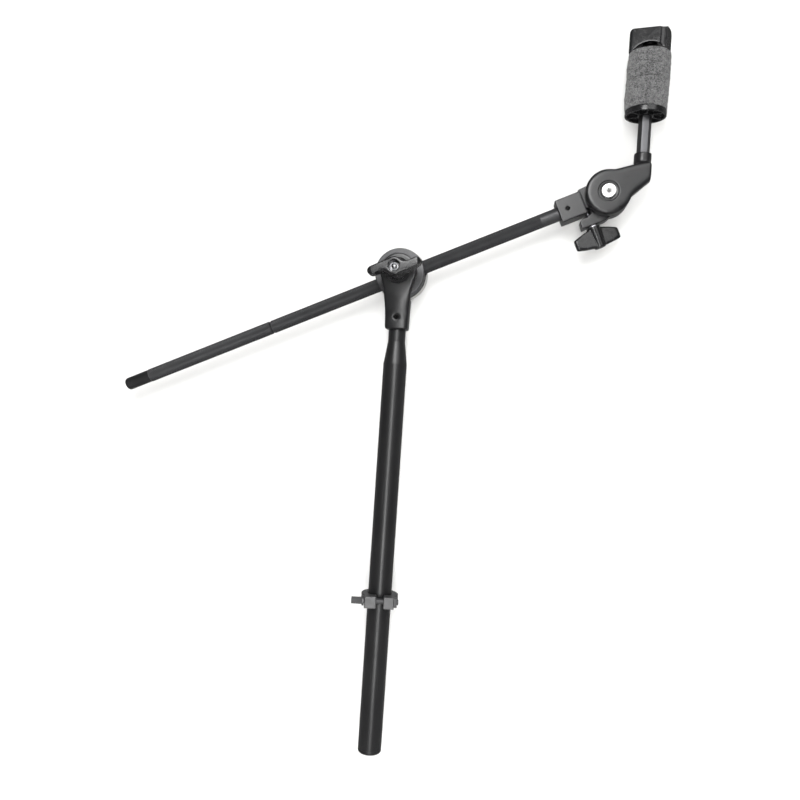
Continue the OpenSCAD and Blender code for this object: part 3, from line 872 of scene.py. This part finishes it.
def hex_bar(name, place, corner_r, z0, z1):
    """Hexagonal bar with softened corners and chamfered end faces."""
    sides, corner_cut, chamfer_length, chamfer_depth = 6, 0.35, 0.54, 0.15
    corners = [(corner_r * math.cos(math.tau * k / sides), corner_r * math.sin(math.tau * k / sides))
               for k in range(sides)]
    outline = fillet(corners, corner_cut / math.tan(math.pi / sides), steps=4)
    end_r = corner_r * math.cos(math.pi / sides) - chamfer_depth
    levels = [(z0, end_r), (z0 + chamfer_length, corner_r), (z1 - chamfer_length, corner_r), (z1, end_r)]
    points, faces = [], []
    for z, limit in levels:
        for corner in outline:
            point = corner.normalized() * min(corner.length, limit)
            points.append((point.x, point.y, z))
    count = len(outline)
    for i in range(len(levels) - 1):
        for k in range(count):
            j = (k + 1) % count
            a, b = i * count, (i + 1) * count
            faces.append((a + k, a + j, b + j, b + k))
    faces.append(tuple(range(count - 1, -1, -1)))
    faces.append(tuple(range((len(levels) - 1) * count, len(levels) * count)))
    obj = add_mesh(name, points, faces, place)
    shade(obj, 25)
    return obj


def make_stem():
    """Hexagonal stem from the arm to the seat, with a turned spigot below and an M8 stud above."""
    spigot_r, spigot_edge, stud_r, pitch, overlap = 5.0, 0.5, 4.0, 1.25, 1
    low, high = box_mm("hex_stem", STEM)
    seat = box_mm("seat_cup", STEM)[0].z
    shoulder = box_mm("head_arm", STEM)[1].z
    profile = [(0, low.z), (spigot_r, low.z), (spigot_r, shoulder), (0, shoulder)]
    spigot = lathe("spigot", fillet(profile, spigot_edge, closed=False), STEM, segments=48, closed=False)
    hexagon = hex_bar("hexagon", STEM, high.x, shoulder, seat)
    stud = threaded_rod("stud", STEM, stud_r, pitch, seat - overlap, high.z)
    return stand_for(join("hex_stem_and_stud", [spigot, hexagon, stud]), "hex_stem")


def make_seat():
    """Spoked seat cup with moulded edges."""
    return stand_for(casting("seat_cup", "seat_spider", 0.27, 4, keep=0.4), "seat_cup")


def make_top_nut():
    """Moulded nut with well rounded finger grips."""
    return stand_for(casting("top_nut", "finger_nut", 0.3, 14, keep=0.5), "top_nut")


# ---------------------------------------------------------------- felts

def felt_ring(node, name, stack_low, stack_high):
    """Pressed felt ring: matted lumps all round. Both rings share one noise, so their seam hardly shows."""
    low, high = box_mm(node, STEM)
    outer, bore = high.x, 5.9
    cell, edge, shrink, end_lean = 0.5, 0.7, 0.3, 0.35
    belly, end_taper = 0.5, 0.2
    lumps = ((0.11, 0.5), (0.35, 0.28), (1.0, 0.2), (2.1, 0.14))
    around = round(math.tau * outer / cell)
    contour = fillet([(bore, low.z), (outer, low.z), (outer, high.z), (bore, high.z)], edge, steps=4)
    profile = []
    for start, end in zip(contour, contour[1:] + contour[:1]):
        pieces = max(1, round((end - start).length / cell))
        profile += [start.lerp(end, k / pieces) for k in range(pieces)]
    points = []
    for radius, z in profile:
        rise = (z - stack_low) / (stack_high - stack_low) * 2 - 1
        across = (radius - bore) / (outer - bore)
        swell = belly * (1 - rise ** 4) - end_taper * abs(rise) ** 3
        lean = end_lean * rise * across
        for k in range(around):
            angle = math.tau * k / around
            spot = Vector((radius * math.cos(angle), radius * math.sin(angle), z))
            height = sum(noise.noise(spot * per_mm) * tallest for per_mm, tallest in lumps)
            r = radius + (height + swell - shrink) * max(0.0, across)
            points.append((r * math.cos(angle) + lean, r * math.sin(angle), z))
    faces = []
    count = len(profile)
    for i in range(count):
        lower, upper = i * around, ((i + 1) % count) * around
        for k in range(around):
            j = (k + 1) % around
            faces.append((lower + k, lower + j, upper + j, upper + k))
    obj = add_mesh(name, points, faces, STEM)
    shade(obj, 180)
    stand_for(obj, node)
    return obj


def make_felts():
    """Both felts, shaped as one stack."""
    stack_low, stack_high = box_mm("felt_lower", STEM)[0].z, box_mm("felt_upper", STEM)[1].z
    felt_ring("felt_lower", "felt_under", stack_low, stack_high)
    felt_ring("felt_upper", "felt_over", stack_low, stack_high)


# ---------------------------------------------------------------- studio

def plain_white(name, level, glow):
    """Matt white that glows, so that shadows on it stay pale. Gloss on the object sees it dimmed."""
    dimmed, roughness, gloss = 0.3, 0.9, 0.1
    material = bpy.data.materials.new(name)
    material.use_nodes = True
    tree = material.node_tree
    shader = tree.nodes["Principled BSDF"]
    shader.inputs["Base Color"].default_value = (level, level, level * 0.99, 1)
    shader.inputs["Roughness"].default_value = roughness
    shader.inputs["Specular IOR Level"].default_value = gloss
    shader.inputs["Emission Color"].default_value = (1, 1, 1, 1)
    shader.inputs["Emission Strength"].default_value = glow
    mirrored = tree.nodes.new("ShaderNodeEmission")
    mirrored.inputs["Strength"].default_value = dimmed
    rays = tree.nodes.new("ShaderNodeLightPath")
    choose = tree.nodes.new("ShaderNodeMixShader")
    tree.links.new(rays.outputs["Is Glossy Ray"], choose.inputs["Fac"])
    tree.links.new(shader.outputs["BSDF"], choose.inputs[1])
    tree.links.new(mirrored.outputs["Emission"], choose.inputs[2])
    tree.links.new(choose.outputs["Shader"], tree.nodes["Material Output"].inputs["Surface"])
    return material


def hidden_from_behind(material):
    """Leaves a sheet out when it is seen from behind, so that rear views show the object."""
    tree = material.node_tree
    output = tree.nodes["Material Output"].inputs["Surface"]
    front = output.links[0].from_socket
    face = tree.nodes.new("ShaderNodeNewGeometry")
    clear = tree.nodes.new("ShaderNodeBsdfTransparent")
    choose = tree.nodes.new("ShaderNodeMixShader")
    tree.links.new(face.outputs["Backfacing"], choose.inputs["Fac"])
    tree.links.new(front, choose.inputs[1])
    tree.links.new(clear.outputs["BSDF"], choose.inputs[2])
    tree.links.new(choose.outputs["Shader"], output)


def add_sheet(name, corners, material):
    """A flat sheet that belongs to the staging, not to the object."""
    mesh = bpy.data.meshes.new(name)
    mesh.from_pydata(corners, [], [tuple(range(len(corners)))])
    obj = bpy.data.objects.new(name, mesh)
    bpy.context.collection.objects.link(obj)
    obj.data.materials.append(material)
    return obj


def make_stage():
    """Pale sheet close behind the object, and a pale floor below it."""
    back_gap, floor_gap, half = 0.008, 0.45, 1.6
    low, high = CAD_BOX
    centre = (low + high) / 2
    left, right = centre.x - half, centre.x + half
    back_y, floor_z = high.y + back_gap, low.z - floor_gap
    top_z = floor_z + 2 * half
    backdrop_white = plain_white("backdrop_white", 0.72, glow=0.08)
    hidden_from_behind(backdrop_white)
    add_sheet("backdrop", [
        (left, back_y, floor_z), (right, back_y, floor_z),
        (right, back_y, top_z), (left, back_y, top_z),
    ], backdrop_white)
    front_y, rear_y = back_y - half, back_y + half
    add_sheet("floor", [
        (left, front_y, floor_z), (right, front_y, floor_z),
        (right, rear_y, floor_z), (left, rear_y, floor_z),
    ], plain_white("floor_white", 0.85, glow=0.35))


def add_light(name, kind, place, aim, power):
    """A light that looks from one point to another, both counted from the middle of the object."""
    low, high = CAD_BOX
    centre = (low + high) / 2
    data = bpy.data.lights.new(name, kind)
    data.energy = power
    light = bpy.data.objects.new(name, data)
    bpy.context.collection.objects.link(light)
    start, end = centre + Vector(place), centre + Vector(aim)
    light.location = start
    light.rotation_euler = (end - start).to_track_quat("-Z", "Y").to_euler()
    return data


def make_lights():
    """A softbox above the camera, a tall narrow one below it, and a window at the upper right."""
    key_side, strip_width, strip_height, window_width = 0.34, 0.13, 1.3, 45
    key = add_light("key", "AREA", (0.02, -0.78, 0.42), (0.1, 0, 0.12), 4.7)
    strip = add_light("strip", "AREA", (0.15, -0.88, -0.45), (0.1, 0, -0.35), 7.8)
    for light, width, height in ((key, key_side, key_side), (strip, strip_width, strip_height)):
        light.shape = "RECTANGLE"
        light.size, light.size_y = width, height
    window = add_light("window", "SUN", (0.45, -1.0, 0.75), (0, 0, 0), 1.3)
    window.angle = math.radians(window_width)


def make_room():
    """A dim room in reflections, a brighter one for soft light, and white beyond the sheets."""
    world = bpy.data.worlds.new("room")
    bpy.context.scene.world = world
    world.use_nodes = True
    tree = world.node_tree
    rays = tree.nodes.new("ShaderNodeLightPath")

    def glow(node, colour, strength):
        """The light of a background node with this colour and strength."""
        node.inputs["Color"].default_value = (*colour, 1)
        node.inputs["Strength"].default_value = strength
        return node.outputs["Background"]

    shader = glow(tree.nodes["Background"], (0.95, 0.97, 1.0), 0.1)
    for kind, colour, strength in (("Is Diffuse Ray", (1, 0.99, 0.97), 0.5),
                                   ("Is Camera Ray", (1, 1, 1), 1.0)):
        choose = tree.nodes.new("ShaderNodeMixShader")
        tree.links.new(rays.outputs[kind], choose.inputs["Fac"])
        tree.links.new(shader, choose.inputs[1])
        tree.links.new(glow(tree.nodes.new("ShaderNodeBackground"), colour, strength), choose.inputs[2])
        shader = choose.outputs["Shader"]
    tree.links.new(shader, tree.nodes["World Output"].inputs["Surface"])


def make_camera():
    """Level camera, a little to the right of the object, rolled so that the post leans to the right."""
    aim = Vector((0.0070, 0, 0.3345))
    azimuth, roll, distance = math.radians(8.0), math.radians(3.82), 0.7402
    lens, sensor = 35.15, 36.0
    back = Vector((math.sin(azimuth), -math.cos(azimuth), 0))
    data = bpy.data.cameras.new("camera")
    data.lens, data.sensor_width = lens, sensor
    data.clip_start, data.clip_end = 0.01, 20
    camera = bpy.data.objects.new("camera", data)
    bpy.context.collection.objects.link(camera)
    camera.location = aim + back * distance
    level = (-back).to_track_quat("-Z", "Y").to_matrix()
    camera.rotation_euler = (level @ Matrix.Rotation(roll, 3, "Z")).to_euler()
    bpy.context.scene.camera = camera


# ---------------------------------------------------------------- build

make_camera()
dress_cad_nodes()
make_post()
make_collar()
make_bracket()
make_spring()
make_drum()
make_eye_bolt()
make_large_wing()
make_small_wing()
make_boom()
make_knuckle()
make_jaw_bolt()
make_head_arm()
make_pivot()
make_stem()
make_seat()
make_top_nut()
make_felts()
make_stage()
make_lights()
make_room()

bpy.context.scene.view_settings.view_transform = "Standard"
